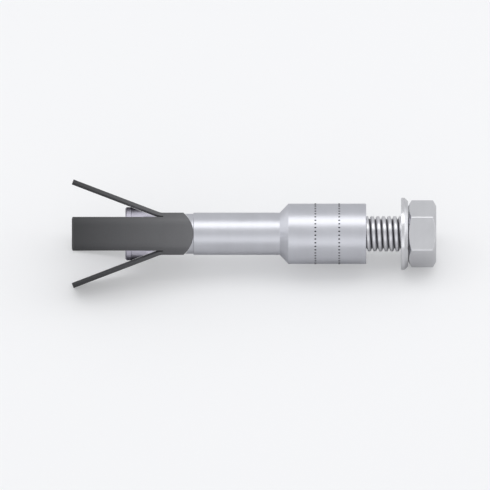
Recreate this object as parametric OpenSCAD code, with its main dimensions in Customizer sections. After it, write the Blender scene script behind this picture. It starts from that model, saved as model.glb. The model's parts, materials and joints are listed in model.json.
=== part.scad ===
// Expansion anchor for aerated concrete, with an internal-thread sleeve and a hexagon bolt.
// It is drawn set: the cone is pulled in and the four legs are spread behind the drilled hole.
// The axis is +X, out of the wall. The origin is the middle of the sleeve's mouth, at the wall face.

/* [Sleeve] */
// Diameter of the sleeve's head
head_d = 13.4; // [13:0.1:18]
// Length of the sleeve's head
head_len = 17.3; // [15:0.1:30]
// Length of the taper from the head down to the shank
taper_len = 1.9; // [1.2:0.1:5]
// Diameter of the shank, and width across the flats of the expansion clip
shank_d = 9.4; // [9.2:0.1:10.6]
// Length of the shank from the taper to the shoulder
shank_len = 19.2; // [17:0.1:40]
// Depth of the small step down from the shank to the neck
neck_step = 0.25; // [0.1:0.05:0.4]
// Thickness of the floor that the drive nut pulls against
nut_floor = 1.2; // [0.8:0.1:2.5]
// Chamfer round the mouth of the sleeve
mouth_chamfer = 0.35; // [0.2:0.05:0.8]

/* [Expansion clip] */
// Wall thickness of the clip's collar and legs
clip_wall = 1.2; // [1:0.05:1.3]
// How far the rounded corners stand out past the clip's flats
corner_out = 0.8; // [0.5:0.05:0.9]
// Distance from the shoulder to the roots of the legs
collar_len = 7.4; // [6.6:0.1:12]
// Radius of the collar's rounded tongues
tongue_r = 6.2; // [5.2:0.1:6.8]
// Length of each leg
leg_len = 20.8; // [17:0.1:24]
// Width of the slots between the legs
leg_slot = 0.3; // [0.2:0.05:0.8]
// Angle that the legs are spread by when the anchor is set
spread_angle = 20.9; // [15:0.1:24]

/* [Cone bolt] */
// Width across the flats of the square cone at its rim
cone_w = 11.5; // [10.6:0.1:12]
// How far inside the head's diameter the cone's rounded corners stay
cone_inset = 0.35; // [0.2:0.05:0.5]
// Length of the cone's straight rim
rim_len = 1.2; // [0.8:0.1:3]
// Diameter of the cone bolt's threaded shank
pull_d = 5; // [4.6:0.1:5]
// Thread that the drive nut still holds before the anchor is set
pull_grip = 3; // [2.5:0.1:4]

/* [Drive nut] */
// Diameter of the chamber that the drive nut turns in
chamber_d = 6.6; // [6.5:0.05:7.2]
// Length of the drive nut
nut_len = 9; // [8:0.1:14]
// Width across the flats of the key socket
key_w = 5.2; // [5.15:0.05:5.4]
// Depth of the key socket
key_depth = 4; // [3:0.1:6]

/* [Bolt and washer] */
// Nominal diameter of the bolt's thread
bolt_d = 8; // [7.6:0.1:8.6]
// How far the bolt is screwed into the sleeve
screw_in = 10.7; // [8:0.1:12]
// Thickness of the fixture that the bolt clamps
fixture_t = 7.75; // [5:0.05:30]
// Width across the flats of the bolt's head
hex_w = 13; // [12:0.5:15]
// Height of the bolt's head
hex_h = 6.2; // [5:0.1:8]
// Outer diameter of the washer
washer_d = 16; // [15:0.5:24]
// Thickness of the washer
washer_t = 1.55; // [1.2:0.05:2.5]
// Diameter of the washer's hole
washer_hole_d = 8.4; // [8.2:0.1:9]

/* [Hidden] */
$fn = 96;

silver = [0.80, 0.81, 0.85];
steel = [0.84, 0.84, 0.86];
dark = [0.36, 0.36, 0.38];

// Clearances
seat_gap = 0.05; // flat faces of pieces that seat on each other
fit_gap = 0.05; // round the core in the collar and the pull thread in the nut
thread_gap = 0.08; // round the bolt in the sleeve
nut_gap = 0.1; // round the drive nut in its chamber
cone_gap = 0.18; // between the spread legs and the cone's faces
hinge_gap = 0.05; // between a leg's rounded root and the collar's end
over = 1; // how far a cut runs past the face that it opens

// Places along the axis
thread_x = -head_len;
shank_x = -head_len - taper_len;
shoulder_x = shank_x - shank_len;
hinge_x = shoulder_x - collar_len;
collar_end_x = hinge_x + clip_wall / 2 + hinge_gap;
tongue_x = shoulder_x - seat_gap - tongue_r;
nut_seat_x = shoulder_x + nut_floor;

// Clip section
clip_half = shank_d / 2;
clip_inner = clip_half - clip_wall;
corner_r = clip_half + corner_out;
hinge_r = clip_half - clip_wall / 2;
core_half = clip_inner - fit_gap;
neck_r = clip_half - neck_step;
// The collar's inner corners are rounded so that its wall keeps half its thickness there.
inner_corner_r = corner_r - clip_wall / 2;

// The four sides of the clip face these ways round the axis, with the anchor lying on two legs.
upper_front_angle = 45;
side_angle = 90;
upper_back_angle = upper_front_angle - side_angle;
lower_front_angle = upper_front_angle + side_angle;
lower_back_angle = upper_front_angle + 2 * side_angle;

// Cone: its faces lie along the spread legs, cone_gap below them.
rim_half = cone_w / 2;
small_half = core_half;
// Distance behind the hinges at which a face of the cone stands half_w from the axis
function cone_back(half_w) =
    (half_w - hinge_r + (clip_wall / 2 + cone_gap) / cos(spread_angle)) / tan(spread_angle);
rim_x = hinge_x - cone_back(rim_half);
small_x = hinge_x - cone_back(small_half);
cone_end_x = rim_x - rim_len;
rim_edge = 0.3;
// Travel of the cone, from clear of the straight legs' tips to the place where it is set
tip_clear = 0.18;
travel = leg_len + tip_clear - cone_back(small_half);
pull_tip_x = nut_seat_x + pull_grip + travel;
pull_chamfer = 0.5;

// Bolt
washer_x = fixture_t;
head_x = washer_x + washer_t + seat_gap;
bolt_tip_x = -screw_in;
bolt_chamfer = 0.9;
hex_chamfer_angle = 30;
hex_face_inset = 0.325; // from the flats to the round edge of the head's end faces
hex_face_r = hex_w / 2 - hex_face_inset;
corner_margin = 0.1; // from the head's corners to the turned solid that chamfers them
hex_corner_r = hex_w / 2 / cos(30) + corner_margin;
hex_chamfer = (hex_corner_r - hex_face_r) * tan(hex_chamfer_angle);
washer_chamfer = washer_t / 2;

// Turned solid about the X axis, from points given as [radius, x]
module turned(points) {
    rotate([0, 90, 0]) rotate_extrude() polygon(points);
}

// Round bar or cut from one x to another
module bar(d, from_x, to_x) {
    translate([from_x, 0, 0]) rotate([0, 90, 0]) cylinder(d = d, h = to_x - from_x);
}

// Square bar with rounded corners, with its flats facing the four legs
module four_sided(half_w, round_r, from_x, to_x) {
    rotate([upper_front_angle, 0, 0]) translate([from_x, 0, 0]) rotate([0, 90, 0])
        linear_extrude(to_x - from_x) intersection() {
            square(2 * half_w, center = true);
            circle(r = round_r);
        }
}

// Disc across the clip that gives the collar its two rounded tongues
module tongue_disc(r) {
    rotate([upper_front_angle, 0, 0]) translate([tongue_x, 0, 0])
        cylinder(r = r, h = 4 * corner_r, center = true);
}

// Turned body: head, taper, shank, the stepped neck beside the tongues, and four flats on its core
module sleeve_outside() {
    turned([[0, 0], [head_d / 2 - mouth_chamfer, 0], [head_d / 2, -mouth_chamfer],
            [head_d / 2, -head_len], [clip_half, shank_x], [clip_half, shoulder_x],
            [0, shoulder_x]]);
    difference() {
        bar(2 * neck_r, tongue_x + tongue_r / 2, shoulder_x + seat_gap);
        tongue_disc(tongue_r + seat_gap);
    }
    four_sided(core_half, neck_r, collar_end_x, shoulder_x + seat_gap);
}

// Threaded mouth, drive nut chamber, and the hole for the pull thread
module sleeve_inside() {
    thread_r = bolt_d / 2 + thread_gap;
    turned([[0, over], [thread_r + mouth_chamfer + over, over], [thread_r, -mouth_chamfer],
            [thread_r, thread_x], [0, thread_x]]);
    bar(chamber_d, nut_seat_x, thread_x + over);
    bar(pull_d + 4 * fit_gap, collar_end_x - over, nut_seat_x + over);
}

module anchor_sleeve() {
    color(silver) difference() {
        sleeve_outside();
        sleeve_inside();
    }
}

// Four-sided collar with a rounded tongue in front and behind
module clip_collar() {
    color(dark) difference() {
        intersection() {
            four_sided(clip_half, corner_r, collar_end_x, shoulder_x);
            union() {
                tongue_disc(tongue_r);
                bar(4 * corner_r, collar_end_x - over, tongue_x);
            }
        }
        four_sided(clip_inner, inner_corner_r, collar_end_x - over, shoulder_x + over);
    }
}

// Section of one leg, as [sideways, outwards]: one side of the clip, between two corner slots
module leg_section() {
    slot_side = leg_slot * sqrt(2) / 2;
    intersection() {
        polygon([[-clip_inner + slot_side, clip_inner], [clip_inner - slot_side, clip_inner],
                 [clip_half - slot_side, clip_half], [-clip_half + slot_side, clip_half]]);
        circle(r = corner_r);
    }
}

// One leg, spread about its rounded root, on the side of the clip that faces the given way
module expansion_leg(facing_angle) {
    color(dark) rotate([facing_angle, 0, 0]) translate([hinge_x, 0, hinge_r]) rotate([0, spread_angle, 0])
        intersection() {
            translate([clip_wall, 0, -hinge_r]) rotate([90, 0, -90])
                linear_extrude(leg_len + clip_wall) leg_section();
            rotate([90, 0, 0]) union() {
                cylinder(d = clip_wall, h = 2 * corner_r, center = true);
                translate([-leg_len, -clip_wall / 2, -corner_r]) cube([leg_len, clip_wall, 2 * corner_r]);
            }
        }
}

module leg_upper_front() { expansion_leg(upper_front_angle); }
module leg_upper_back() { expansion_leg(upper_back_angle); }
module leg_lower_front() { expansion_leg(lower_front_angle); }
module leg_lower_back() { expansion_leg(lower_back_angle); }

// Side view of the cone: the faces taper along the legs, and the rim has a broken edge
module cone_side() {
    linear_extrude(4 * rim_half, center = true)
        polygon([[cone_end_x, -rim_half + rim_edge], [cone_end_x + rim_edge, -rim_half],
                 [rim_x, -rim_half], [small_x, -small_half], [small_x, small_half],
                 [rim_x, rim_half], [cone_end_x + rim_edge, rim_half],
                 [cone_end_x, rim_half - rim_edge]]);
}

module cone_bolt() {
    color(silver) union() {
        rotate([upper_front_angle, 0, 0]) intersection() {
            cone_side();
            rotate([90, 0, 0]) cone_side();
            bar(head_d - 2 * cone_inset, cone_end_x - over, small_x + over);
        }
        turned([[0, rim_x], [pull_d / 2, rim_x], [pull_d / 2, pull_tip_x - pull_chamfer],
                [pull_d / 2 - pull_chamfer, pull_tip_x], [0, pull_tip_x]]);
    }
}

module drive_nut() {
    nut_r = chamber_d / 2 - nut_gap;
    nut_edge = 0.3;
    nut_x = nut_seat_x + seat_gap;
    color(steel) difference() {
        turned([[0, nut_x], [nut_r - nut_edge, nut_x], [nut_r, nut_x + nut_edge],
                [nut_r, nut_x + nut_len - nut_edge], [nut_r - nut_edge, nut_x + nut_len],
                [0, nut_x + nut_len]]);
        bar(pull_d + 2 * fit_gap, nut_x - over, nut_x + nut_len - key_depth + over);
        translate([nut_x + nut_len - key_depth, 0, 0]) rotate([0, 90, 0])
            cylinder(d = key_w / cos(30), h = key_depth + over, $fn = 6);
    }
}

// Hexagon head with chamfers on both ends, over a plain shank of the thread's outer diameter
module hex_bolt() {
    top_x = head_x + hex_h;
    color(steel) union() {
        intersection() {
            rotate([upper_front_angle, 0, 0]) translate([head_x, 0, 0]) rotate([0, 90, 0]) rotate(90)
                cylinder(d = hex_w / cos(30), h = hex_h, $fn = 6);
            turned([[0, head_x], [hex_face_r, head_x], [hex_corner_r, head_x + hex_chamfer],
                    [hex_corner_r, top_x - hex_chamfer], [hex_face_r, top_x], [0, top_x]]);
        }
        turned([[0, bolt_tip_x], [bolt_d / 2 - bolt_chamfer, bolt_tip_x],
                [bolt_d / 2, bolt_tip_x + bolt_chamfer], [bolt_d / 2, head_x + over],
                [0, head_x + over]]);
    }
}

module washer() {
    top_x = washer_x + washer_t;
    color(steel) difference() {
        turned([[0, washer_x], [washer_d / 2, washer_x], [washer_d / 2, top_x - washer_chamfer],
                [washer_d / 2 - washer_chamfer, top_x], [0, top_x]]);
        bar(washer_hole_d, washer_x - over, top_x + over);
    }
}

anchor_sleeve();
clip_collar();
leg_upper_front();
leg_upper_back();
leg_lower_front();
leg_lower_back();
cone_bolt();
drive_nut();
hex_bolt();
washer();
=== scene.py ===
"""Looks of an expansion anchor for aerated concrete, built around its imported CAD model."""

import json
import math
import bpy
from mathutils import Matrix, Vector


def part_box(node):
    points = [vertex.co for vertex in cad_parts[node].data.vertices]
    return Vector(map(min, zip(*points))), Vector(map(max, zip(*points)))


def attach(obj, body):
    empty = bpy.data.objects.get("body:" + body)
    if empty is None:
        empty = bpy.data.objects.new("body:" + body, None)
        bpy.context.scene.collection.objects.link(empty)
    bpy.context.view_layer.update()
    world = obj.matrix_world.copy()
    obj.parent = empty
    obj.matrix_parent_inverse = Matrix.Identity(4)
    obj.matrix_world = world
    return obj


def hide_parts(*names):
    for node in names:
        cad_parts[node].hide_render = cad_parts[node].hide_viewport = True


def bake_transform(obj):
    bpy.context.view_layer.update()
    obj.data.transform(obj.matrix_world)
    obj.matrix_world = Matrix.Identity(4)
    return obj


bl_info = {
    "name": "Aerated Concrete Anchor",
    "version": (1, 0, 0),
    "blender": (4, 5, 0),
    "location": "View3D > Sidebar > Anchor",
    "description": "Builds the anchor: sleeve, expansion clip, cone bolt, hexagon bolt and washer",
    "category": "Object",
}

import bmesh
import bpy
from mathutils import Matrix, Vector

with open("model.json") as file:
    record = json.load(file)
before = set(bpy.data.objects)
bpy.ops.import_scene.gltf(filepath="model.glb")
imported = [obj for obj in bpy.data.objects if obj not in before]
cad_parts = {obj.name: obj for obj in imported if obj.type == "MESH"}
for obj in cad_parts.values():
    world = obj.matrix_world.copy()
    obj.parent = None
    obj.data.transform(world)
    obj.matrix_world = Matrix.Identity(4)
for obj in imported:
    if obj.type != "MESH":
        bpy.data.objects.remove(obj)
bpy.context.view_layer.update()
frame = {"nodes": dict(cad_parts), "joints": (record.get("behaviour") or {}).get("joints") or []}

MM = 0.001
TURN = 2 * math.pi
LEGS = ("leg_upper_front", "leg_upper_back", "leg_lower_front", "leg_lower_back")
FRONT_ANGLE = math.radians(45)  # the side of the clip that faces the camera, round +X from +Z
JOINTS = {joint["name"]: joint for joint in frame["joints"]}

# Every thread has the same form. A wave runs from 0 in the middle of a root to 1 in the middle
# of a crest, and the flank rises smoothly while the wave goes from FLANK_LOW to FLANK_HIGH.
THREAD_DEPTH = 0.61  # of the pitch
FLANK_LOW, FLANK_HIGH = -0.08, 0.64
LEAD_TURNS = 1.5  # turns of the helix ahead of the thread's start, where it is cut off
SPARE_TURNS = 2.0  # turns that the helix has more than the thread
SHANK_SEAT = 0.5 * MM  # how deep a threaded shank starts inside its head
DOT_SHAPE = (1.4, 0.95, 0.35)  # along the axis, round it and outwards, in dot radii

WELD = 0.0005 * MM  # points nearer than this are one point
THREAD_WELD = 0.004 * MM  # the same on a thread, whose cut-off rows lie on each other
SLIVER = 0.001 * MM  # faces thinner than this are cleared after a cut
ON_SEAM = 0.01 * MM  # how near to a seam its edges lie


def low(node):
    """Lowest corner of a CAD node."""
    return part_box(node)[0]


def high(node):
    """Highest corner of a CAD node."""
    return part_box(node)[1]


# Sizes, colours and light, which the panel shows


def length_prop(name, description, default):
    return bpy.props.FloatProperty(
        name=name, description=description, default=default, unit="LENGTH", precision=5
    )


def colour_prop(name, description, default):
    return bpy.props.FloatVectorProperty(
        name=name, description=description, default=default, subtype="COLOR", size=3, min=0, max=1
    )


def strength_prop(name, description, default):
    return bpy.props.FloatProperty(
        name=name, description=description, default=default, subtype="FACTOR", min=0, max=10
    )


class AnchorSizes(bpy.types.PropertyGroup):
    """Sizes of the anchor, from its CAD model"""

    head_r: length_prop("Head radius", "Radius of the sleeve's head", 6.7 * MM)
    head_len: length_prop("Head length", "Length of the sleeve's head", 17.3 * MM)
    taper_len: length_prop("Taper length", "From the head down to the shank", 1.9 * MM)
    shank_r: length_prop("Shank radius", "Radius of the shank, and half the clip's width", 4.7 * MM)
    shank_len: length_prop("Shank length", "From the taper to the shoulder", 19.2 * MM)
    neck_step: length_prop("Neck step", "From the shank down to the neck", 0.25 * MM)
    nut_floor: length_prop("Nut floor", "Thickness of the floor behind the drive nut", 1.2 * MM)
    mouth_chamfer: length_prop("Mouth chamfer", "Chamfer round the sleeve's mouth", 0.35 * MM)
    bore_r: length_prop("Bore radius", "Radius of the sleeve's bore, behind its thread", 4.08 * MM)
    drill_r: length_prop("Drill radius", "Radius inside the sleeve's thread", 3.4 * MM)
    thread_gap: length_prop("Thread gap", "Clearance between the two threads", 0.1 * MM)
    chamber_r: length_prop("Chamber radius", "Radius of the drive nut's chamber", 3.3 * MM)
    pull_hole_r: length_prop("Pull hole radius", "Radius of the hole for the cone bolt", 2.6 * MM)
    edge_r: length_prop("Edge radius", "Radius that machined edges are broken with", 0.12 * MM)
    clip_wall: length_prop("Clip wall", "Wall thickness of the expansion clip", 1.2 * MM)
    corner_out: length_prop("Corner height", "From the clip's flats out to its corners", 0.8 * MM)
    tongue_r: length_prop("Tongue radius", "Radius of the collar's tongues", 6.2 * MM)
    fit_gap: length_prop("Fit gap", "Clearance between pieces that seat on each other", 0.05 * MM)
    leg_len: length_prop("Leg length", "From a leg's root to its tip", 20.8 * MM)
    leg_slot: length_prop("Leg slot", "Width of the slots between the legs", 0.3 * MM)
    cone_half: length_prop("Cone half width", "From the axis to the flats of its rim", 5.75 * MM)
    cone_r: length_prop("Cone radius", "Radius over the cone's rounded corners", 6.35 * MM)
    cone_swell: length_prop("Cone swell", "From the CAD cone out to this one's faces", 0.14 * MM)
    cone_edge: length_prop("Cone edge", "Width of the broken edge round the cone's end", 0.3 * MM)
    cone_step: length_prop("Cone step", "From the rim's corners down to the cone's", 0.2 * MM)
    rim_len: length_prop("Rim length", "Length of the cone's straight rim", 1.2 * MM)
    pull_r: length_prop("Pull thread radius", "Radius over the cone bolt's thread", 2.5 * MM)
    pull_pitch: length_prop("Pull thread pitch", "Pitch of the cone bolt's thread", 0.8 * MM)
    bolt_r: length_prop("Bolt radius", "Radius over the bolt's thread", 3.92 * MM)
    bolt_pitch: length_prop("Bolt pitch", "Pitch of the bolt's thread", 1.25 * MM)
    hex_half: length_prop("Hexagon half width", "From the axis to the flats of the head", 6.5 * MM)
    hex_corner_r: length_prop("Hexagon corners", "Radius of the hexagon's six corners", 0.45 * MM)
    hex_face_inset: length_prop("Face inset", "From the flats to a face's round edge", 0.325 * MM)
    washer_hole_r: length_prop("Washer hole radius", "Radius of the washer's hole", 4.2 * MM)
    dot_r: length_prop("Dot radius", "Radius of one dot in the rings round the head", 0.17 * MM)
    dot_pitch: length_prop("Dot pitch", "Distance between two dots of a ring", 0.86 * MM)
    far_dots: length_prop("Far dots", "From the mouth to the far ring of dots", 11.3 * MM)
    near_dots: length_prop("Near dots", "From the mouth to the near ring of dots", 6 * MM)


class AnchorFinish(bpy.types.PropertyGroup):
    """Colours of the anchor"""

    zinc: colour_prop("Zinc", "Bright zinc plating on the sleeve", (0.63, 0.635, 0.675))
    cone_zinc: colour_prop("Cone zinc", "Zinc plating on the forged cone", (0.60, 0.58, 0.66))
    bolt_zinc: colour_prop("Bolt zinc", "Zinc plating on the bolt and washer", (0.74, 0.74, 0.76))
    # Clip root and clip tip are the two ends of a painted shade that darkens the legs towards their
    # tips.
    clip_root: colour_prop("Clip root", "Dark sheet steel at the collar", (0.150, 0.150, 0.155))
    clip_tip: colour_prop("Clip tip", "Dark sheet steel at the legs' tips", (0.042, 0.042, 0.044))
    dots: colour_prop("Dots", "Punched dots round the head", (0.02, 0.02, 0.025))


class AnchorStage(bpy.types.PropertyGroup):
    """Floor and light round the anchor"""

    floor: colour_prop("Floor", "Plain pale floor", (0.62, 0.62, 0.625))
    bounce: colour_prop("Floor bounce", "Colour of the light thrown back up", (0.46, 0.46, 0.48))
    glow: colour_prop("Floor glow", "Colour of the floor's own faint glow", (0.99, 0.995, 1.0))
    glow_strength: strength_prop("Floor glow strength", "Strength of it, for the camera", 0.27)
    floor_half: length_prop("Floor half width", "From the anchor to the floor's edge", 1.5)
    lamp_width: length_prop("Lamp width", "Length of the lamp along the anchor", 0.7)
    lamp_depth: length_prop("Lamp depth", "Width of the lamp across the anchor", 0.24)
    lamp_power: bpy.props.FloatProperty(
        name="Lamp power", description="Power of the lamp", default=0.62, unit="POWER"
    )
    studio: colour_prop("Studio", "Colour of the light from the studio round it", (0.97, 0.98, 1.0))
    studio_round: strength_prop("Studio strength", "Light from the studio all round", 0.72)
    studio_front: strength_prop("Studio front", "Light from straight in front", 1.25)
    studio_sides: strength_prop("Studio sides", "Light that both sides add", 0.6)
    backdrop: strength_prop("Backdrop", "What the camera sees past the floor's edge", 0.95)


def sizes():
    return bpy.context.scene.anchor_sizes


def finish():
    return bpy.context.scene.anchor_finish


def stage():
    return bpy.context.scene.anchor_stage


# Places, worked out from the sizes and the joints


def shoulder_x(s):
    """Where the sleeve's shank ends and its neck begins."""
    return -s.head_len - s.taper_len - s.shank_len


def hinge(name):
    """A leg's hinge: its x, its distance from the axis, and its direction round +X from +Z."""
    point = Vector(JOINTS[name + "_bend"]["pos_m"])
    out = Vector((0, point.y, point.z))
    way = out.normalized()
    return point.x, out.length, math.atan2(-way.y, way.z)


def spread_angle(name):
    """Angle that a leg is spread by at rest."""
    return math.radians(JOINTS[name + "_bend"]["range_deg"][1])


def around_axis(x, radius, angle):
    """A point at a radius from the X axis, turned from +Y towards +Z."""
    return (x, radius * math.cos(angle), radius * math.sin(angle))


def on_side(angle, x, across, out):
    """A point on the side of the clip that faces the given angle round +X from +Z."""
    return (
        x,
        across * math.cos(angle) - out * math.sin(angle),
        across * math.sin(angle) + out * math.cos(angle),
    )


# Node trees


class Tree:
    """Adds and links the nodes of one tree."""

    def __init__(self, tree):
        self.tree = tree

    def add(self, kind, inputs=None, **settings):
        """One node. inputs maps a socket's name or number to a value or another node's output."""
        node = self.tree.nodes.new(kind)
        for key, value in settings.items():
            setattr(node, key, value)
        for key, value in (inputs or {}).items():
            if isinstance(value, bpy.types.NodeSocket):
                self.tree.links.new(value, node.inputs[key])
            else:
                node.inputs[key].default_value = value
        return node

    def math(self, operation, *values):
        """The output of one math node."""
        return self.add("ShaderNodeMath", dict(enumerate(values)), operation=operation).outputs[0]

    def plus(self, a, b):
        return self.math("ADD", a, b)

    def minus(self, a, b):
        return self.math("SUBTRACT", a, b)

    def times(self, a, b):
        return self.math("MULTIPLY", a, b)

    def split(self, vector):
        """The X, Y and Z of a vector, by name."""
        return self.add("ShaderNodeSeparateXYZ", {0: vector}).outputs

    def remap(self, value, to, span=(0.0, 1.0), shape="LINEAR"):
        """A value moved from one span of numbers to another."""
        labels = ("Value", "From Min", "From Max", "To Min", "To Max")
        inputs = dict(zip(labels, (value, *span, *to)))
        return self.add("ShaderNodeMapRange", inputs, interpolation_type=shape).outputs[0]

    def noise(self, place, scale, detail=3.0, roughness=0.5):
        """Cloudy noise from 0 to 1, with its scale in features to a metre."""
        inputs = {"Vector": place, "Scale": scale, "Detail": detail, "Roughness": roughness}
        return self.add("ShaderNodeTexNoise", inputs).outputs["Fac"]

    def tinted(self, colour, factor):
        """A colour multiplied by a number."""
        product = self.add("ShaderNodeVectorMath", {0: colour, 1: factor}, operation="MULTIPLY")
        return product.outputs[0]

    def blended(self, factor, a, b):
        """Colour a at a factor of 0, and b at 1."""
        inputs = {"Factor": factor, "A": (*a, 1), "B": (*b, 1)}
        return self.add("ShaderNodeMix", inputs, data_type="RGBA").outputs["Result"]

    def bump(self, height, strength, depth):
        inputs = {"Strength": strength, "Distance": depth, "Height": height}
        return self.add("ShaderNodeBump", inputs).outputs[0]

    def surface(self, inputs):
        return self.add("ShaderNodeBsdfPrincipled", inputs).outputs[0]


def geometry_tree(name, inputs):
    """A Geometry Nodes tree with named inputs, given as name: socket kind."""
    tree = bpy.data.node_groups.new(name, "GeometryNodeTree")
    for label, kind in inputs.items():
        tree.interface.new_socket(label, in_out="INPUT", socket_type=kind)
    tree.interface.new_socket("Geometry", in_out="OUTPUT", socket_type="NodeSocketGeometry")
    nodes = Tree(tree)
    return nodes, nodes.add("NodeGroupInput").outputs


def close_tree(nodes, geometry, material):
    """Ends a tree in Realize Instances and Set Material."""
    real = nodes.add("GeometryNodeRealizeInstances", {"Geometry": geometry}).outputs[0]
    painted = nodes.add("GeometryNodeSetMaterial", {"Geometry": real, "Material": material})
    nodes.add("NodeGroupOutput", {"Geometry": painted.outputs[0]})
    return nodes.tree


def applied(obj, modifier):
    """The object's mesh with that modifier applied, which is then taken off."""
    made = bpy.data.meshes.new_from_object(obj.evaluated_get(bpy.context.evaluated_depsgraph_get()))
    obj.modifiers.remove(modifier)
    return made


def mesh_from_tree(name, tree, values):
    """A plain mesh object from a Geometry Nodes tree, with its inputs set by name."""
    carrier = bpy.data.objects.new(name, bpy.data.meshes.new(name))
    bpy.context.scene.collection.objects.link(carrier)
    modifier = carrier.modifiers.new(name, "NODES")
    modifier.node_group = tree
    for item in tree.interface.items_tree:
        if item.in_out == "INPUT" and item.name in values:
            modifier[item.identifier] = values[item.name]
    carrier.data = applied(carrier, modifier)
    carrier.data.name = name
    return carrier


def thread_tree(material):
    """Screw thread about the X axis: a grid wrapped round it along the helix, closed at both ends.

    The grid's X runs along the thread and its Y once round it, so a crest is one row of the grid.
    """
    steps, around = 16, 72
    last_row = 0.4999  # the grid is 1 long, and past this from its middle lie its two end rows
    labels = ("Start", "End", "Pitch", "Crest Radius", "Root Radius", "End Radius")
    nodes, given = geometry_tree("Screw thread", dict.fromkeys(labels, "NodeSocketFloat"))
    start, end, pitch = given["Start"], given["End"], given["Pitch"]
    whole_turns = nodes.math("CEIL", nodes.math("DIVIDE", nodes.minus(end, start), pitch))
    turns = nodes.plus(whole_turns, SPARE_TURNS)
    rows = nodes.plus(nodes.times(turns, float(steps)), 1.0)
    grid = nodes.add(
        "GeometryNodeMeshGrid",
        {"Size X": 1.0, "Size Y": 1.0, "Vertices X": rows, "Vertices Y": around + 1},
    )
    place = nodes.split(nodes.add("GeometryNodeInputPosition").outputs[0])
    turn = nodes.times(nodes.plus(place["X"], 0.5), turns)
    angle = nodes.times(nodes.plus(place["Y"], 0.5), TURN)
    helix_x = nodes.times(nodes.plus(turn, nodes.math("DIVIDE", angle, TURN)), pitch)
    raw_x = nodes.plus(nodes.minus(start, nodes.times(pitch, LEAD_TURNS)), helix_x)
    x = nodes.math("MINIMUM", nodes.math("MAXIMUM", raw_x, start), end)
    wave = nodes.math("ABSOLUTE", nodes.minus(nodes.times(nodes.math("FRACT", turn), 2.0), 1.0))
    flank = nodes.remap(wave, (0.0, 1.0), (FLANK_LOW, FLANK_HIGH), "SMOOTHSTEP")
    depth = nodes.minus(given["Crest Radius"], given["Root Radius"])
    crest = nodes.plus(given["Root Radius"], nodes.times(flank, depth))
    from_start = nodes.plus(given["End Radius"], nodes.minus(x, start))
    from_end = nodes.plus(given["End Radius"], nodes.minus(end, x))
    radius = nodes.math("MINIMUM", crest, nodes.math("MINIMUM", from_start, from_end))
    # The two end rows shrink to a point on the axis, which closes the ends.
    inner = nodes.math("LESS_THAN", nodes.math("ABSOLUTE", place["X"]), last_row)
    radius = nodes.times(radius, inner)
    y = nodes.times(radius, nodes.math("COSINE", angle))
    z = nodes.times(radius, nodes.math("SINE", angle))
    spot = nodes.add("ShaderNodeCombineXYZ", {"X": x, "Y": y, "Z": z})
    wrapped = nodes.add(
        "GeometryNodeSetPosition", {"Geometry": grid.outputs[0], "Position": spot.outputs[0]}
    )
    welded = nodes.add(
        "GeometryNodeMergeByDistance", {"Geometry": wrapped.outputs[0], "Distance": THREAD_WELD}
    )
    outwards = nodes.add("GeometryNodeFlipFaces", {"Mesh": welded.outputs[0]})
    return close_tree(nodes, outwards.outputs[0], material)


def thread_mesh(name, material, start, end, pitch, crest_r, end_depth):
    """Screw thread from start to end along the X axis, as a plain mesh.

    Its ends are turned down by end_depth, as a part of the pitch.
    """
    values = {
        "Start": start,
        "End": end,
        "Pitch": pitch,
        "Crest Radius": crest_r,
        "Root Radius": crest_r - THREAD_DEPTH * pitch,
        "End Radius": crest_r - end_depth * pitch,
    }
    return mesh_from_tree(name, thread_tree(material), values)


def bolt_thread_r(s, past_tip, turned):
    """Radius of the bolt's thread at a distance past its tip, part of a turn round from +Y.

    It gives what thread_tree's nodes give, for the thread that the bolt runs in.
    """
    turn = past_tip / s.bolt_pitch + LEAD_TURNS - turned
    wave = abs(2 * (turn % 1) - 1)
    rise = min(max((wave - FLANK_LOW) / (FLANK_HIGH - FLANK_LOW), 0), 1)
    flank = rise * rise * (3 - 2 * rise)
    return s.bolt_r - (1 - flank) * THREAD_DEPTH * s.bolt_pitch


def dot_ring_tree(material):
    """A ring of small domed dots about the X axis."""
    lengths = dict.fromkeys(("Radius", "Place", "Dot Radius"), "NodeSocketFloat")
    nodes, given = geometry_tree("Dot ring", {**lengths, "Dots": "NodeSocketInt"})
    ring = nodes.add(
        "GeometryNodeMeshCircle", {"Vertices": given["Dots"], "Radius": given["Radius"]}
    )
    place = nodes.add("GeometryNodeInputPosition").outputs[0]
    outward = nodes.add("FunctionNodeAlignEulerToVector", {"Vector": place}, axis="Z")
    # The second turn lays every dot's long side along the axis.
    along = nodes.add(
        "FunctionNodeAlignEulerToVector",
        {"Rotation": outward.outputs[0], "Vector": (0, 0, 1)},
        axis="X",
        pivot_axis="Z",
    )
    dot = nodes.add("GeometryNodeMeshIcoSphere", {"Radius": given["Dot Radius"], "Subdivisions": 2})
    flat = nodes.add("GeometryNodeTransform", {"Geometry": dot.outputs[0], "Scale": DOT_SHAPE})
    dots = nodes.add(
        "GeometryNodeInstanceOnPoints",
        {"Points": ring.outputs[0], "Instance": flat.outputs[0], "Rotation": along.outputs[0]},
    )
    shift = nodes.add("ShaderNodeCombineXYZ", {"X": given["Place"]})
    quarter = (0, math.radians(90), 0)
    inputs = {"Geometry": dots.outputs[0], "Translation": shift.outputs[0], "Rotation": quarter}
    turned = nodes.add("GeometryNodeTransform", inputs)
    return close_tree(nodes, turned.outputs[0], material)


# Mesh helpers


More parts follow.
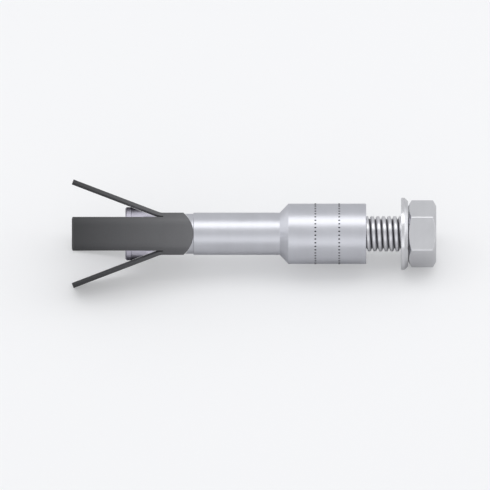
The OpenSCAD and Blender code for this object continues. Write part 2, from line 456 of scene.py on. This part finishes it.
def rounded(points, radius, steps=4):
    """A closed outline with each corner replaced by an arc of up to that radius. Points are 2-D."""
    nearly_straight = math.radians(170)
    share = 0.45  # an arc takes no more of a side than this
    out = []
    for i, point in enumerate(points):
        here = Vector(point)
        back = Vector(points[i - 1]) - here
        ahead = Vector(points[(i + 1) % len(points)]) - here
        bend = back.angle(ahead)
        if bend > nearly_straight:
            out.append(here)
            continue
        reach = min(radius / math.tan(bend / 2), back.length * share, ahead.length * share)
        from_point = here + back.normalized() * reach
        to_point = here + ahead.normalized() * reach
        for step in range(steps + 1):
            t = step / steps
            out.append(from_point * (1 - t) ** 2 + here * 2 * t * (1 - t) + to_point * t**2)
    return out


def smooth(mesh, sharp):
    """Smooth faces, with edges past that angle left sharp."""
    mesh.shade_smooth()
    mesh.set_sharp_from_angle(angle=math.radians(sharp))


def new_object(name, build, sharp=35):
    """An object whose mesh is made by build(bmesh), with its faces outwards."""
    bm = bmesh.new()
    build(bm)
    bmesh.ops.remove_doubles(bm, verts=bm.verts, dist=WELD)
    bmesh.ops.recalc_face_normals(bm, faces=bm.faces)
    mesh = bpy.data.meshes.new(name)
    bm.to_mesh(mesh)
    bm.free()
    obj = bpy.data.objects.new(name, mesh)
    bpy.context.scene.collection.objects.link(obj)
    smooth(mesh, sharp)
    return obj


def loft(bm, rings, loop=False):
    """Faces between closed rings of points. The ends get a face each, or join up in a loop."""
    made = [[bm.verts.new(point) for point in ring] for ring in rings]
    pairs = list(zip(made, made[1:]))
    if loop:
        pairs.append((made[-1], made[0]))
    for a, b in pairs:
        for i in range(len(a)):
            j = (i + 1) % len(a)
            bm.faces.new((a[i], a[j], b[j], b[i]))
    if not loop:
        bm.faces.new(made[0])
        bm.faces.new(reversed(made[-1]))


def lathe(bm, profile, loop=False, around=144):
    """Turns an outline of (radius, x) about the X axis."""
    angles = [TURN * i / around for i in range(around)]
    loft(bm, [[around_axis(x, radius, angle) for angle in angles] for radius, x in profile], loop)


def four_sided(half, corner_r, flat_steps=6, corner_steps=5):
    """Section of a square bar with round corners, as (across, out) points."""
    edge = math.sqrt(corner_r**2 - half**2)
    start = math.atan2(edge, half)
    sweep = math.radians(90) - 2 * start
    points = []
    for side in range(4):
        turn = Matrix.Rotation(-side * math.radians(90), 2)
        for step in range(flat_steps + 1):
            points.append(turn @ Vector((-edge + 2 * edge * step / flat_steps, half)))
        for step in range(1, corner_steps):
            angle = start + sweep * step / corner_steps
            points.append(turn @ Vector((corner_r * math.sin(angle), corner_r * math.cos(angle))))
    return points


def tongue_disc(x, radius, height, around=96):
    """Two rings of a disc that lies across the clip, facing its front side."""
    angles = [TURN * i / around for i in range(around)]
    edge = [(x + radius * math.cos(angle), radius * math.sin(angle)) for angle in angles]
    faces = (-height / 2, height / 2)
    return [[on_side(FRONT_ANGLE, *point, out) for point in edge] for out in faces]


def cut(obj, tool, operation):
    """Applies one boolean, removes its tool and clears the flat faces that it leaves."""
    modifier = obj.modifiers.new("Cut", "BOOLEAN")
    modifier.operation = operation
    modifier.object = tool
    modifier.solver = "EXACT"
    obj.data = applied(obj, modifier)
    bpy.data.objects.remove(tool)
    bm = bmesh.new()
    bm.from_mesh(obj.data)
    bmesh.ops.dissolve_degenerate(bm, dist=SLIVER, edges=bm.edges)
    bm.to_mesh(obj.data)
    bm.free()


def bevel(obj, width, angle, seam_x=None):
    """Breaks the edges past an angle, except those round a flush seam at one x."""
    bm = bmesh.new()
    bm.from_mesh(obj.data)
    weights = []
    for edge in bm.edges:
        on_seam = seam_x is not None and all(abs(v.co.x - seam_x) < ON_SEAM for v in edge.verts)
        weights.append(float(edge.calc_face_angle(0) > math.radians(angle) and not on_seam))
    bm.free()
    obj.data.attributes.new("bevel_weight_edge", "FLOAT", "EDGE").data.foreach_set("value", weights)
    modifier = obj.modifiers.new("Broken edges", "BEVEL")
    modifier.width = width
    modifier.segments = 2
    modifier.limit_method = "WEIGHT"
    modifier.harden_normals = True


def place_piece(obj, body, slot, material, *nodes):
    """Gives a finished piece its material and body, and lets it stand for CAD nodes.

    A piece that blends between two bodies is given no body here. The slot is not used.
    """
    if not obj.data.polygons:
        raise RuntimeError(f"{obj.name} has no faces")
    obj.data.materials.clear()
    obj.data.materials.append(material)
    if body:
        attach(obj, body)
    if nodes:
        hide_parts(*nodes)


# Materials


def material_named(name, build):
    """The material of that name, built once."""
    found = bpy.data.materials.get(name)
    if found:
        return found
    material = bpy.data.materials.new(name)
    material.use_nodes = True
    material.node_tree.nodes.clear()
    nodes = Tree(material.node_tree)
    nodes.add("ShaderNodeOutputMaterial", {"Surface": build(nodes)})
    return material


def round_place(nodes):
    """Object coordinates, the distance along the axis, and the distance from it."""
    place = nodes.add("ShaderNodeTexCoord").outputs["Object"]
    parts = nodes.split(place)
    across = nodes.add("ShaderNodeCombineXYZ", {"Y": parts["Y"], "Z": parts["Z"]}).outputs[0]
    radius = nodes.add("ShaderNodeVectorMath", {0: across}, operation="LENGTH").outputs["Value"]
    return place, parts["X"], radius


def zinc(name, colour, rough, marks, grain, painted_root_shade=None):
    """Zinc-plated steel. marks is the depth of turning rings, and grain that of the forged skin.

    On a thread, painted shade darkens the roots: it is dark up to the first radius given for that
    shade, and bright from the second.
    """

    def build(nodes):
        place, x, radius = round_place(nodes)
        turned = nodes.add("ShaderNodeCombineXYZ", {"X": x, "Y": radius}).outputs[0]
        rings = nodes.noise(turned, scale=5200.0, detail=2.0, roughness=0.6)
        bands = nodes.noise(turned, scale=700.0, detail=2.0)
        cloud = nodes.noise(place, scale=240.0, detail=4.0, roughness=0.6)
        skin = nodes.noise(place, scale=2600.0, roughness=0.6)
        shade = nodes.times(nodes.remap(cloud, (0.93, 1.05)), nodes.remap(bands, (0.97, 1.03)))
        # Painted shade: the thread's roots are darkened, most at the bottom of the groove.
        if painted_root_shade:
            shade = nodes.times(shade, nodes.remap(radius, (0.12, 1.0), painted_root_shade))
        cloudy = nodes.remap(cloud, (rough - 0.05, rough + 0.07))
        height = nodes.plus(nodes.times(rings, marks), nodes.times(skin, grain))
        return nodes.surface(
            {
                "Base Color": nodes.tinted((*colour,), shade),
                "Metallic": 1.0,
                "Roughness": nodes.plus(cloudy, nodes.remap(rings, (-0.03, 0.03))),
                "Normal": nodes.bump(height, strength=0.35, depth=0.02 * MM),
            }
        )

    return material_named(name, build)


def sleeve_metal():
    return zinc("Turned zinc", finish().zinc, rough=0.35, marks=1.0, grain=0.15)


def cone_metal():
    return zinc("Forged cone zinc", finish().cone_zinc, rough=0.45, marks=0.1, grain=1.0)


def bolt_metal():
    return zinc("Bolt zinc", finish().bolt_zinc, rough=0.22, marks=0.3, grain=0.35)


def thread_metal(crest_r, pitch):
    # The radii over which painted shade darkens the thread's roots.
    root_shade_span = (crest_r - 0.6 * pitch, crest_r - 0.36 * pitch)
    return zinc("Thread zinc", finish().bolt_zinc, rough=0.3, marks=0.2, grain=0.3, painted_root_shade=root_shade_span)


def nut_metal():
    return zinc("Nut steel", finish().bolt_zinc, rough=0.3, marks=1.0, grain=0.2)


def clip_metal():
    """Dark phosphated sheet steel with rolling marks along it, and painted shade that makes it
    darker towards the legs' tips.
    """
    root_x, tip_x = shoulder_x(sizes()), low(LEGS[0]).x

    def build(nodes):
        place, x, _ = round_place(nodes)
        stretched = nodes.add("ShaderNodeMapping", {"Vector": place, "Scale": (0.06, 1.0, 1.0)})
        marks = nodes.noise(stretched.outputs[0], scale=4200.0, roughness=0.6)
        crystals = nodes.noise(place, scale=6500.0, detail=2.0, roughness=0.7)
        cloud = nodes.noise(place, scale=300.0, detail=4.0, roughness=0.6)
        # Painted shade: the steel gets darker from the collar towards the legs' tips.
        painted_tip_shade = nodes.remap(x, (0.0, 1.0), (tip_x, root_x))
        colour = nodes.blended(painted_tip_shade, finish().clip_tip, finish().clip_root)
        shade = nodes.times(nodes.remap(crystals, (0.86, 1.14)), nodes.remap(cloud, (0.92, 1.08)))
        height = nodes.plus(marks, nodes.times(crystals, 0.6))
        return nodes.surface(
            {
                "Base Color": nodes.tinted(colour, shade),
                "Metallic": 0.35,
                "Roughness": nodes.remap(cloud, (0.48, 0.62)),
                "Normal": nodes.bump(height, strength=0.3, depth=0.015 * MM),
            }
        )

    return material_named("Dark sheet steel", build)


def punched_dots():
    """Dark, slightly uneven dots."""

    def build(nodes):
        shade = nodes.remap(nodes.noise(round_place(nodes)[0], scale=3000.0), (0.7, 1.2))
        colour = nodes.tinted((*finish().dots,), shade)
        return nodes.surface({"Base Color": colour, "Metallic": 0.6, "Roughness": 0.5})

    return material_named("Punched dots", build)


def floor_paint():
    """Pale floor, for the camera and in what the metal mirrors. It throws little light back up.

    A faint glow that only the camera sees keeps the shadow on it pale.
    """

    def build(nodes):
        ray = nodes.add("ShaderNodeLightPath").outputs
        mirrored = nodes.math("MAXIMUM", ray["Is Glossy Ray"], ray["Is Transmission Ray"])
        seen = nodes.math("MAXIMUM", ray["Is Camera Ray"], mirrored)
        return nodes.surface(
            {
                "Base Color": nodes.blended(seen, stage().bounce, stage().floor),
                "Roughness": 0.9,
                "Emission Color": (*stage().glow, 1),
                "Emission Strength": nodes.times(ray["Is Camera Ray"], stage().glow_strength),
            }
        )

    return material_named("Pale floor", build)


# Operators


class ANCHOR_OT_stage(bpy.types.Operator):
    """Plain pale floor under the lying anchor, a lamp, the studio's light and the camera"""

    bl_idname = "anchor.stage"
    bl_label = "Stage"

    picture_px = 490
    px_per_m = 4500
    axis_px = Vector((366.2, 233.75))  # where the axis crosses the sleeve's mouth in the picture
    elevation = math.radians(45)
    camera_away = 0.6  # m
    lamp_place = Vector((-0.027, 0.038, 0.402))
    anchor_middle = Vector((-0.027, 0, 0))
    front_spread = (0.74, 1.0)  # cosine from straight in front, where the studio gets brighter
    sides_spread = (0.5, 1.0)  # the same from either side

    def execute(self, context):
        self.floor()
        self.lamp(context.scene)
        self.studio(context.scene)
        self.camera(context.scene)
        context.scene.view_settings.view_transform = "Standard"
        return {"FINISHED"}

    def floor(self):
        """A wide floor that touches the leg tips and the washer's rim."""
        tips, washer = low(LEGS[2]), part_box("washer")
        drop = math.atan2(washer[0].z - tips.z, washer[1].x - tips.x)
        half = stage().floor_half
        floor = new_object(
            "floor", lambda bm: bmesh.ops.create_grid(bm, x_segments=1, y_segments=1, size=half)
        )
        lie = Matrix.Translation((tips.x, 0, tips.z)) @ Matrix.Rotation(-drop, 4, "Y")
        floor.data.transform(lie)
        floor.data.materials.append(floor_paint())

    def lamp(self, scene):
        """A wide lamp nearly overhead that points at the middle of the anchor."""
        data = bpy.data.lights.new("key", "AREA")
        data.shape = "RECTANGLE"
        data.size = stage().lamp_width
        data.size_y = stage().lamp_depth
        data.energy = stage().lamp_power
        lamp = bpy.data.objects.new("key", data)
        scene.collection.objects.link(lamp)
        turn = (self.lamp_place - self.anchor_middle).to_track_quat("Z", "Y").to_matrix().to_4x4()
        lamp.matrix_world = Matrix.Translation(self.lamp_place) @ turn

    def studio(self, scene):
        """A pale studio that is brighter in front and at both sides."""
        look = stage()
        world = bpy.data.worlds.new("Studio")
        world.use_nodes = True
        world.node_tree.nodes.clear()
        nodes = Tree(world.node_tree)
        way = nodes.add("ShaderNodeTexCoord").outputs["Generated"]
        ahead = nodes.add("ShaderNodeVectorMath", {0: way, 1: (0, -1, 0)}, operation="DOT_PRODUCT")
        strengths = (look.studio_round, look.studio_front)
        front = nodes.remap(ahead.outputs["Value"], strengths, self.front_spread)
        aside = nodes.math("ABSOLUTE", nodes.split(way)["X"])
        sides = nodes.remap(aside, (0.0, look.studio_sides), self.sides_spread)
        # The camera sees past the floor's edge as if the floor went on.
        seen = nodes.add("ShaderNodeLightPath").outputs["Is Camera Ray"]
        inputs = {"Factor": seen, "A": nodes.plus(front, sides), "B": look.backdrop}
        shown = nodes.add("ShaderNodeMix", inputs, data_type="FLOAT").outputs["Result"]
        light = nodes.add("ShaderNodeBackground", {"Color": (*look.studio, 1), "Strength": shown})
        nodes.add("ShaderNodeOutputWorld", {"Surface": light.outputs[0]})
        scene.world = world

    def camera(self, scene):
        """A camera that shows the anchor at the place and scale of the drawing."""
        data = bpy.data.cameras.new("camera")
        data.type = "ORTHO"
        data.ortho_scale = self.picture_px / self.px_per_m
        data.clip_end = 10
        camera = bpy.data.objects.new("camera", data)
        scene.collection.objects.link(camera)
        middle = self.picture_px / 2
        across = (middle - self.axis_px.x) / self.px_per_m
        up = (self.axis_px.y - middle) / self.px_per_m
        turn = Matrix.Rotation(math.radians(90) - self.elevation, 4, "X")
        camera.matrix_world = turn @ Matrix.Translation((across, up, self.camera_away))
        scene.camera = camera


class ANCHOR_OT_sleeve(bpy.types.Operator):
    """Turned sleeve with broken edges, bored for the bolt, the drive nut and the cone bolt"""

    bl_idname = "anchor.sleeve"
    bl_label = "Sleeve"

    def execute(self, context):
        s = sizes()
        shank_x = -s.head_len - s.taper_len
        bottom = shoulder_x(s)
        profile = rounded(
            [
                (s.head_r, 0),
                (s.head_r, -s.head_len),
                (s.shank_r, shank_x),
                (s.shank_r, bottom),
                (s.pull_hole_r, bottom),
                (s.pull_hole_r, bottom + s.nut_floor),
                (s.chamber_r, bottom + s.nut_floor),
                (s.chamber_r, -s.head_len),
                (s.bore_r, -s.head_len),
                (s.bore_r, -s.mouth_chamfer),
                (s.bore_r + s.mouth_chamfer, 0),
            ],
            s.edge_r * 1.6,
        )
        body = new_object("sleeve_body", lambda bm: lathe(bm, profile, loop=True))
        place_piece(body, "sleeve", "sleeve_zinc", sleeve_metal(), "anchor_sleeve")
        return {"FINISHED"}


class ANCHOR_OT_sleeve_thread(bpy.types.Operator):
    """Thread in the sleeve's bore, which the bolt's thread meshes with wherever the bolt stands"""

    bl_idname = "anchor.sleeve_thread"
    bl_label = "Sleeve thread"

    def execute(self, context):
        s = sizes()
        steps, around = 12, 72
        wall_r = s.bore_r + s.edge_r
        start, end = -s.head_len - s.edge_r, -s.mouth_chamfer
        rows = math.ceil((end - start) / s.bolt_pitch * steps)
        tip_x = low("hex_bolt").x

        def ring(x, radius_of):
            return [around_axis(x, radius_of(k / around), TURN * k / around) for k in range(around)]

        def thread_ring(x):
            lead_in = s.bore_r - (end - x)

            def radius_of(turned):
                groove_r = bolt_thread_r(s, x - tip_x, turned) + s.thread_gap
                return max(s.drill_r, lead_in, groove_r)

            return ring(x, radius_of)

        rings = [thread_ring(start + (end - start) * row / rows) for row in range(rows + 1)]
        rings += [ring(x, lambda turned: wall_r) for x in (end, start)]
        thread = new_object("sleeve_thread", lambda bm: loft(bm, rings, loop=True))
        place_piece(thread, "sleeve", "sleeve_zinc", sleeve_metal(), "anchor_sleeve")
        return {"FINISHED"}


class ANCHOR_OT_sleeve_core(bpy.types.Operator):
    """Stepped neck beside the tongues, and the square core that carries the collar"""

    bl_idname = "anchor.sleeve_core"
    bl_label = "Sleeve core"

    def execute(self, context):
        s = sizes()
        core = s.shank_r - s.clip_wall - s.fit_gap
        left, right = low("clip_collar").x, shoulder_x(s)
        end = right + s.fit_gap
        neck_r = s.shank_r - s.neck_step
        tongue_x = right - s.fit_gap - s.tongue_r
        disc_r = s.tongue_r + s.fit_gap

        def core_ring(x):
            return [on_side(FRONT_ANGLE, x, *point) for point in four_sided(core, neck_r)]

        neck_line = [(neck_r, tongue_x + s.tongue_r / 2), (neck_r, end)]
        hole_line = [(s.pull_hole_r, left - MM), (s.pull_hole_r, right + MM)]
        solid = new_object("sleeve_core", lambda bm: loft(bm, [core_ring(left), core_ring(end)]))
        neck = new_object("neck", lambda bm: lathe(bm, neck_line))
        disc = new_object("disc", lambda bm: loft(bm, tongue_disc(tongue_x, disc_r, 4 * s.shank_r)))
        drill = new_object("drill", lambda bm: lathe(bm, hole_line))
        cut(neck, disc, "DIFFERENCE")
        cut(solid, neck, "UNION")
        cut(solid, drill, "DIFFERENCE")
        smooth(solid.data, 30)
        bevel(solid, s.edge_r / 2, angle=30)
        place_piece(solid, "sleeve", "sleeve_zinc", sleeve_metal(), "anchor_sleeve")
        return {"FINISHED"}


class ANCHOR_OT_collar(bpy.types.Operator):
    """Dark four-sided collar with a rounded tongue in front and behind"""

    bl_idname = "anchor.collar"
    bl_label = "Collar"

    def execute(self, context):
        s = sizes()
        steps = 8
        left = low("clip_collar").x
        tongue_x = shoulder_x(s) - s.fit_gap - s.tongue_r
        outer = four_sided(s.shank_r, s.shank_r + s.corner_out)
        inner = four_sided(s.shank_r - s.clip_wall, s.shank_r + s.corner_out - s.clip_wall / 2)

        def ring(section, share):
            """The section at a share of the way from the legs to the tongues' round ends."""
            points = []
            for across, out in section:
                right = tongue_x + math.sqrt(s.tongue_r**2 - across**2)
                points.append(on_side(FRONT_ANGLE, left + (right - left) * share, across, out))
            return points

        rows = [step / steps for step in range(steps + 1)]
        rings = [ring(outer, row) for row in rows] + [ring(inner, row) for row in reversed(rows)]
        collar = new_object("collar", lambda bm: loft(bm, rings, loop=True), sharp=40)
        bevel(collar, s.edge_r, angle=50, seam_x=left)
        place_piece(collar, "sleeve", "clip_steel", clip_metal(), "clip_collar")
        return {"FINISHED"}


class ANCHOR_OT_legs(bpy.types.Operator):
    """Four sheet-steel legs, each bent at its root where it leaves the collar"""

    bl_idname = "anchor.legs"
    bl_label = "Legs"

    def execute(self, context):
        s = sizes()
        root_x = low("clip_collar").x
        section = self.section(s)
        for name in LEGS:
            hinge_x, hinge_r, angle = hinge(name)
            spread = spread_angle(name)
            bend = root_x - hinge_x
            rings = []
            for travel, turned in self.stations(bend, spread, s.leg_len):
                behind, out = self.path(travel, bend, spread)
                ring = []
                for across, height in section:
                    x = hinge_x - behind + height * math.sin(turned)
                    top = hinge_r + out + height * math.cos(turned)
                    ring.append(on_side(angle, x, across, top))
                rings.append(ring)
            spread_name = name.replace("leg", "spread_leg")
            leg = new_object(spread_name, lambda bm: loft(bm, rings), sharp=40)
            bevel(leg, s.edge_r * 0.6, angle=50, seam_x=root_x)
            place_piece(leg, None, "clip_steel", clip_metal(), name)
            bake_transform(leg)
        return {"FINISHED"}

    @staticmethod
    def section(s):
        """Outline of a leg as (across, height over its middle)."""
        half_wall = s.clip_wall / 2
        corner_r = s.shank_r + s.corner_out
        middle = s.shank_r - half_wall
        flat = math.sqrt(corner_r**2 - s.shank_r**2)
        # The slots' sides stand at 45 degrees, so a leg ends this far from the clip's diagonal.
        slot = s.leg_slot * math.sqrt(2) / 2
        # Where the corner's arc meets the slot's side.
        meet = (slot + math.sqrt(2 * corner_r**2 - slot**2)) / 2
        first = math.atan2(flat, s.shank_r)
        last = math.atan2(meet - slot, meet)
        arc = [first + (last - first) * step / 4 for step in range(5)]
        side = [(corner_r * math.sin(a), corner_r * math.cos(a) - middle) for a in arc]
        foot = s.shank_r - s.clip_wall - slot
        side.append((foot, -half_wall))
        top = [(flat * step / 3, half_wall) for step in (-2, -1, 0, 1, 2)]
        bottom = [(foot * step / 3, -half_wall) for step in (2, 1, 0, -1, -2)]
        return top + side + bottom + [(-across, height) for across, height in reversed(side)]

    @staticmethod
    def stations(bend, spread, length):
        """Places along a leg as (travel from the start of the bend, angle there)."""
        bent, straight = 8, 10  # steps
        arc = bend / math.tan(spread / 2) * spread
        rest = length - bend
        made = [(arc * step / bent, spread * step / bent) for step in range(bent + 1)]
        return made + [(arc + rest * step / straight, spread) for step in range(1, straight + 1)]

    @staticmethod
    def path(travel, bend, spread):
        """Middle of the leg at a travel, as (distance behind the hinge, distance outwards)."""
        radius = bend / math.tan(spread / 2)
        arc = radius * spread
        if travel <= arc:
            angle = travel / radius
            return -bend + radius * math.sin(angle), radius * (1 - math.cos(angle))
        extra = travel - arc + bend
        return extra * math.cos(spread), extra * math.sin(spread)


class ANCHOR_OT_cone_bolt(bpy.types.Operator):
    """Square cone with rounded corners on a threaded shank"""

    bl_idname = "anchor.cone_bolt"
    bl_label = "Cone bolt"

    def execute(self, context):
        s = sizes()
        steps = 24
        spread = spread_angle(LEGS[0])
        end_x = low("cone_bolt").x
        rim_x = end_x + s.rim_len
        small = s.shank_r - s.clip_wall - s.fit_gap
        taper = (s.cone_half - small) / math.tan(spread)
        rim = s.cone_half + s.cone_swell / math.cos(spread)
        stations = [(end_x, rim - s.cone_edge), (end_x + s.cone_edge, rim)]
        stations += [(rim_x, rim), (rim_x + s.cone_step, rim)]
        stations += [
            (rim_x + taper * step / steps, rim + (small - s.cone_half) * step / steps)
            for step in range(1, steps + 1)
        ]
        rings = []
        for x, half in stations:
            if x == end_x:
                corner_r = s.cone_r - s.cone_edge
            else:
                corner_r = s.cone_r if x <= rim_x else s.cone_r - s.cone_step
                # Where the cone gets thin, its corners end just inside those of the square.
                corner_r = min(corner_r, half * math.sqrt(2) * 0.999)
            rings.append([on_side(FRONT_ANGLE, x, *point) for point in four_sided(half, corner_r)])
        head = new_object("cone_head", lambda bm: loft(bm, rings), sharp=20)
        bevel(head, s.edge_r / 2, angle=25)
        place_piece(head, "cone", "cone_zinc", cone_metal(), "cone_bolt")
        shank = thread_mesh(
            "pull_thread",
            cone_metal(),
            start=rim_x + taper - SHANK_SEAT,
            end=high("cone_bolt").x,
            pitch=s.pull_pitch,
            crest_r=s.pull_r,
            end_depth=0.75,
        )
        smooth(shank.data, 35)
        place_piece(shank, "cone", "cone_zinc", cone_metal(), "cone_bolt")
        return {"FINISHED"}


class ANCHOR_OT_hex_bolt(bpy.types.Operator):
    """Hexagon bolt: a head with chamfers on both ends, and a rolled thread"""

    bl_idname = "anchor.hex_bolt"
    bl_label = "Hexagon bolt"

    def execute(self, context):
        s = sizes()
        top = high("hex_bolt").x
        seat = high("washer").x + s.fit_gap
        face_r = s.hex_half - s.hex_face_inset
        inner_r = 0.7 * face_r  # a ring inside the face, which keeps its shading flat
        slope = math.tan(math.radians(30))
        outline = self.outline(s)

        def face_ring(x, radius):
            """A round ring on one face of the head."""
            points = [p * (radius / p.length) for p in outline]
            return [on_side(FRONT_ANGLE, x, *point) for point in points]

        def side_ring(x, way):
            """The hexagon where a chamfer meets it, farther from the face the farther out it is."""
            drops = [max(p.length - face_r, 0) * slope for p in outline]
            return [on_side(FRONT_ANGLE, x + way * drop, *p) for p, drop in zip(outline, drops)]

        rings = [face_ring(seat, inner_r), face_ring(seat, face_r), side_ring(seat, 1)]
        rings += [side_ring(top, -1), face_ring(top, face_r), face_ring(top, inner_r)]
        head = new_object("hex_head", lambda bm: loft(bm, rings), sharp=20)
        bevel(head, s.edge_r * 0.6, angle=20)
        place_piece(head, "bolt", "bolt_zinc", bolt_metal(), "hex_bolt")
        metal = thread_metal(s.bolt_r, s.bolt_pitch)
        shank = thread_mesh(
            "bolt_thread",
            metal,
            start=low("hex_bolt").x,
            end=seat + SHANK_SEAT,
            pitch=s.bolt_pitch,
            crest_r=s.bolt_r,
            end_depth=0.7,
        )
        smooth(shank.data, 35)
        place_piece(shank, "bolt", "bolt_zinc", metal, "hex_bolt")
        return {"FINISHED"}

    @staticmethod
    def outline(s):
        """Hexagon with rounded corners, as points that lie close enough for the chamfer's arcs."""
        spacing = 0.35 * MM
        corner_r = s.hex_half / math.cos(TURN / 12)
        angles = [TURN * (i + 0.5) / 6 for i in range(6)]
        sharp = [(corner_r * math.sin(angle), corner_r * math.cos(angle)) for angle in angles]
        corners = rounded(sharp, s.hex_corner_r, steps=5)
        points = []
        for point, following in zip(corners, corners[1:] + corners[:1]):
            pieces = max(1, round((following - point).length / spacing))
            points += [point.lerp(following, step / pieces) for step in range(pieces)]
        return points


class ANCHOR_OT_washer(bpy.types.Operator):
    """Flat washer with one chamfered rim"""

    bl_idname = "anchor.washer"
    bl_label = "Washer"

    def execute(self, context):
        s = sizes()
        lower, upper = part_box("washer")
        chamfer = (upper.x - lower.x) / 2
        profile = rounded(
            [
                (s.washer_hole_r, lower.x),
                (upper.y, lower.x),
                (upper.y, upper.x - chamfer),
                (upper.y - chamfer, upper.x),
                (s.washer_hole_r, upper.x),
            ],
            s.edge_r * 1.5,
        )
        washer = new_object("plain_washer", lambda bm: lathe(bm, profile, loop=True))
        place_piece(washer, "washer", "washer_zinc", bolt_metal(), "washer")
        return {"FINISHED"}


class ANCHOR_OT_dot_rings(bpy.types.Operator):
    """Two rings of small dots round the sleeve's head"""

    bl_idname = "anchor.dot_rings"
    bl_label = "Dot rings"

    def execute(self, context):
        s = sizes()
        tree = dot_ring_tree(punched_dots())
        for number, from_mouth in enumerate((s.far_dots, s.near_dots), 1):
            values = {
                "Radius": s.head_r,
                "Place": -from_mouth,
                "Dot Radius": s.dot_r,
                "Dots": round(TURN * s.head_r / s.dot_pitch),
            }
            ring = mesh_from_tree(f"dot_ring_{number}", tree, values)
            smooth(ring.data, 60)
            place_piece(ring, "sleeve", "sleeve_zinc", punched_dots())
        return {"FINISHED"}


class ANCHOR_OT_cad_finish(bpy.types.Operator):
    """Gives the drive nut, whose CAD form is right, its turned steel"""

    bl_idname = "anchor.cad_finish"
    bl_label = "Drive nut finish"

    def execute(self, context):
        nut = frame["nodes"]["drive_nut"]
        nut.data.materials.clear()
        nut.data.materials.append(nut_metal())
        return {"FINISHED"}


OPERATORS = (
    ANCHOR_OT_stage,
    ANCHOR_OT_sleeve,
    ANCHOR_OT_sleeve_thread,
    ANCHOR_OT_sleeve_core,
    ANCHOR_OT_collar,
    ANCHOR_OT_legs,
    ANCHOR_OT_cone_bolt,
    ANCHOR_OT_hex_bolt,
    ANCHOR_OT_washer,
    ANCHOR_OT_dot_rings,
    ANCHOR_OT_cad_finish,
)


class ANCHOR_PT_panel(bpy.types.Panel):
    """Lists the anchor's pieces, sizes, colours and light"""

    bl_idname = "ANCHOR_PT_panel"
    bl_label = "Aerated Concrete Anchor"
    bl_space_type = "VIEW_3D"
    bl_region_type = "UI"
    bl_category = "Anchor"

    def draw(self, context):
        for operator in OPERATORS:
            self.layout.operator(operator.bl_idname)
        for group in (sizes(), finish(), stage()):
            for name in group.__annotations__:
                self.layout.prop(group, name)


CLASSES = (AnchorSizes, AnchorFinish, AnchorStage, *OPERATORS, ANCHOR_PT_panel)


def register():
    for cls in CLASSES:
        bpy.utils.register_class(cls)
    bpy.types.Scene.anchor_sizes = bpy.props.PointerProperty(type=AnchorSizes)
    bpy.types.Scene.anchor_finish = bpy.props.PointerProperty(type=AnchorFinish)
    bpy.types.Scene.anchor_stage = bpy.props.PointerProperty(type=AnchorStage)


def unregister():
    del bpy.types.Scene.anchor_stage
    del bpy.types.Scene.anchor_finish
    del bpy.types.Scene.anchor_sizes
    for cls in reversed(CLASSES):
        bpy.utils.unregister_class(cls)


def main():
    register()
    for operator in OPERATORS:
        getattr(bpy.ops.anchor, operator.bl_idname.split(".")[1])()


if __name__ == "__main__":
    main()
